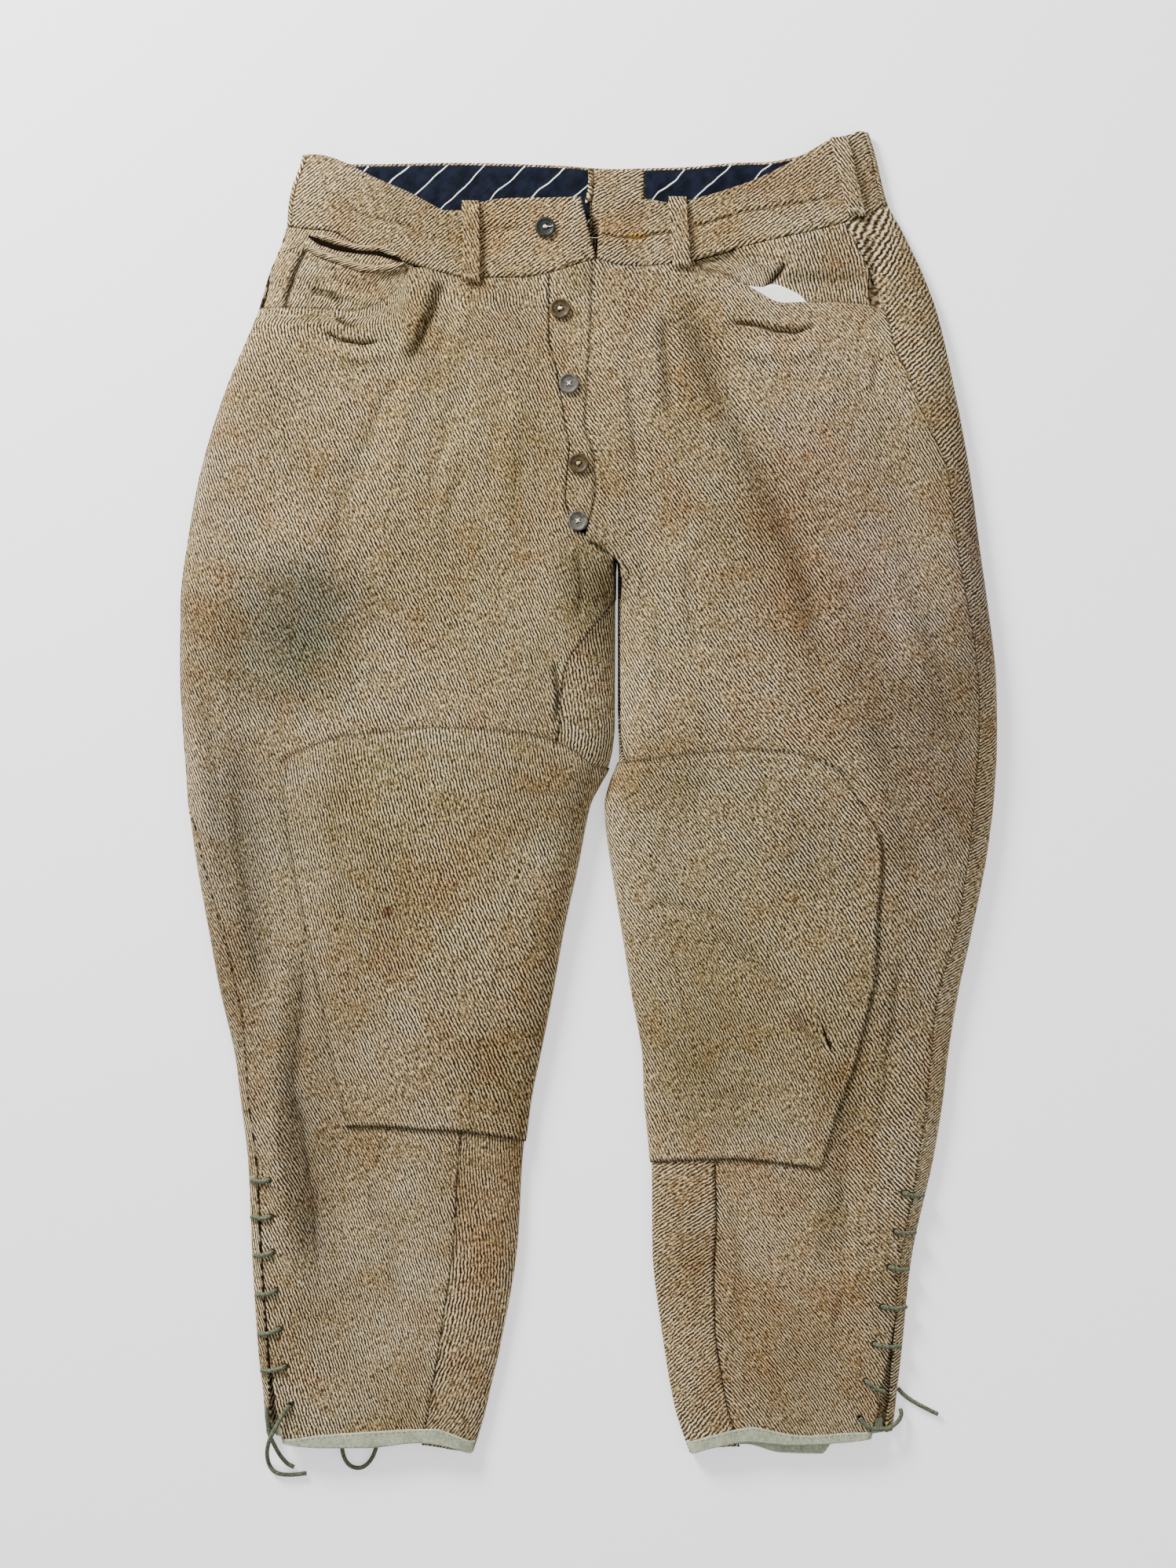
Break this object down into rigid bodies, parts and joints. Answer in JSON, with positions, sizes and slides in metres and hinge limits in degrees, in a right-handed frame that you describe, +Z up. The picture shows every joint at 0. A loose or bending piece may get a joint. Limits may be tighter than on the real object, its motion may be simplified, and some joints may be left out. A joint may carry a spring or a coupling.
{
  "type": "breeches",
  "caption": "Lace-up riding breeches in heavy twill, laid flat: wide thighs, knee patches, button fly, laced calves.",
  "frame": {"origin": "middle of the garment's box, on the surface that it lies on", "axes": "+X to the wearer's left leg as seen from above, +Y from the hems to the waist, +Z up out of the surface"},
  "size_m": [0.6039, 0.9944, 0.0262],
  "materials": {
    "tweed": "heavy marled wool twill",
    "navy_lining": "smooth satin-weave lining",
    "pocket_cotton": "plain white cotton",
    "hem_tape": "herringbone cotton tape",
    "lace": "flat woven cotton lace",
    "button_green": "dull green-grey horn-like",
    "button_brown": "satin brown horn-like",
    "button_grey": "satin grey horn-like"
  },
  "bodies": {
    "root": {"front_right": "tweed", "front_left": "tweed", "back_right": "tweed", "back_left": "tweed", "waistband_right": "tweed", "waistband_left": "tweed", "waistband_back": "tweed", "centre_back_facing": "tweed", "fly_stand": "tweed", "pocket_facing_right": "tweed", "pocket_facing_left": "tweed", "knee_patch_right": "tweed", "knee_patch_left": "tweed", "belt_loop_right": "tweed", "belt_loop_left": "tweed", "belt_loop_side": "tweed", "lining_right": "navy_lining", "lining_left": "navy_lining", "pocket_bag_left": "pocket_cotton", "hem_tape_front_right": "hem_tape", "hem_tape_front_left": "hem_tape", "hem_tape_back_right": "hem_tape", "hem_tape_back_left": "hem_tape", "lace_rung_right_1": "lace", "lace_rung_right_2": "lace", "lace_rung_right_3": "lace", "lace_rung_right_4": "lace", "lace_rung_right_5": "lace", "lace_rung_right_6": "lace", "lace_rung_left_1": "lace", "lace_rung_left_2": "lace", "lace_rung_left_3": "lace", "lace_rung_left_4": "lace", "lace_rung_left_5": "lace", "lace_rung_left_6": "lace", "lace_end_right_upper": "lace", "lace_end_right_lower": "lace", "lace_bow_right": "lace", "lace_end_left": "lace", "lace_loop_left": "lace", "button_waist": "button_green", "button_fly_1": "button_brown", "button_fly_3": "button_brown", "button_fly_2": "button_grey", "button_fly_4": "button_grey"}
  },
  "joints": []
}
